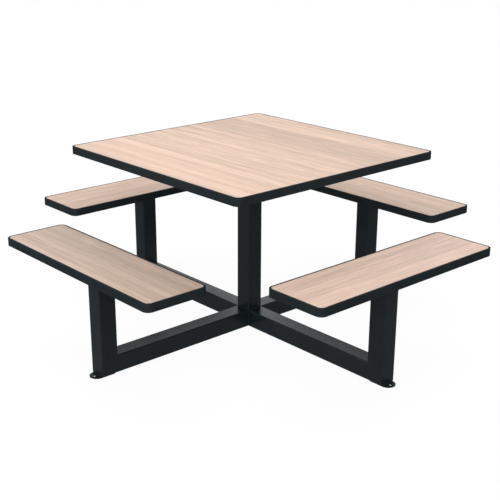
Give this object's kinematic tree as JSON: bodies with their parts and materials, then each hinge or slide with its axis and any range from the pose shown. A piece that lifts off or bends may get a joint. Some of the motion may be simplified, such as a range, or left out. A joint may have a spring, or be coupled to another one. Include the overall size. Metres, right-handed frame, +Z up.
{
  "type": "table with attached benches",
  "caption": "Square canteen table with attached benches: oak-look boards with dark edging on a welded square-tube frame of a central column, floor cross, posts and drilled foot lugs.",
  "frame": {"origin": "on the floor, under the column axis", "axes": "+Z up; +X along the through rail to the east bench; +Y along the half rail to the north bench"},
  "size_m": [1.668, 1.668, 0.733],
  "materials": {
    "oak_laminate": "satin laminate with a pale oak decor",
    "black_edging": "matt",
    "board_core": "matt",
    "frame_paint": "satin powder coat",
    "zinc_screw": "zinc plated"
  },
  "bodies": {
    "root": {"bench_east_core": "board_core", "bench_east_edge": "black_edging", "bench_east_laminate": "oak_laminate", "bench_east_screw_1": "zinc_screw", "bench_east_screw_2": "zinc_screw", "bench_east_screw_3": "zinc_screw", "bench_east_screw_4": "zinc_screw", "bench_north_core": "board_core", "bench_north_edge": "black_edging", "bench_north_laminate": "oak_laminate", "bench_north_screw_1": "zinc_screw", "bench_north_screw_2": "zinc_screw", "bench_north_screw_3": "zinc_screw", "bench_north_screw_4": "zinc_screw", "bench_saddle_east": "frame_paint", "bench_saddle_north": "frame_paint", "bench_saddle_south": "frame_paint", "bench_saddle_west": "frame_paint", "bench_south_core": "board_core", "bench_south_edge": "black_edging", "bench_south_laminate": "oak_laminate", "bench_south_screw_1": "zinc_screw", "bench_south_screw_2": "zinc_screw", "bench_south_screw_3": "zinc_screw", "bench_south_screw_4": "zinc_screw", "bench_west_core": "board_core", "bench_west_edge": "black_edging", "bench_west_laminate": "oak_laminate", "bench_west_screw_1": "zinc_screw", "bench_west_screw_2": "zinc_screw", "bench_west_screw_3": "zinc_screw", "bench_west_screw_4": "zinc_screw", "column": "frame_paint", "foot_east": "frame_paint", "foot_north": "frame_paint", "foot_south": "frame_paint", "foot_west": "frame_paint", "post_east": "frame_paint", "post_north": "frame_paint", "post_south": "frame_paint", "post_west": "frame_paint", "rail_half_north": "frame_paint", "rail_half_south": "frame_paint", "rail_through": "frame_paint", "table_bearer_long": "frame_paint", "table_bearer_short_north": "frame_paint", "table_bearer_short_south": "frame_paint", "table_core": "board_core", "table_edge": "black_edging", "table_laminate": "oak_laminate", "table_screw_east_1": "zinc_screw", "table_screw_east_2": "zinc_screw", "table_screw_north_1": "zinc_screw", "table_screw_north_2": "zinc_screw", "table_screw_south_1": "zinc_screw", "table_screw_south_2": "zinc_screw", "table_screw_west_1": "zinc_screw", "table_screw_west_2": "zinc_screw"}
  },
  "joints": []
}
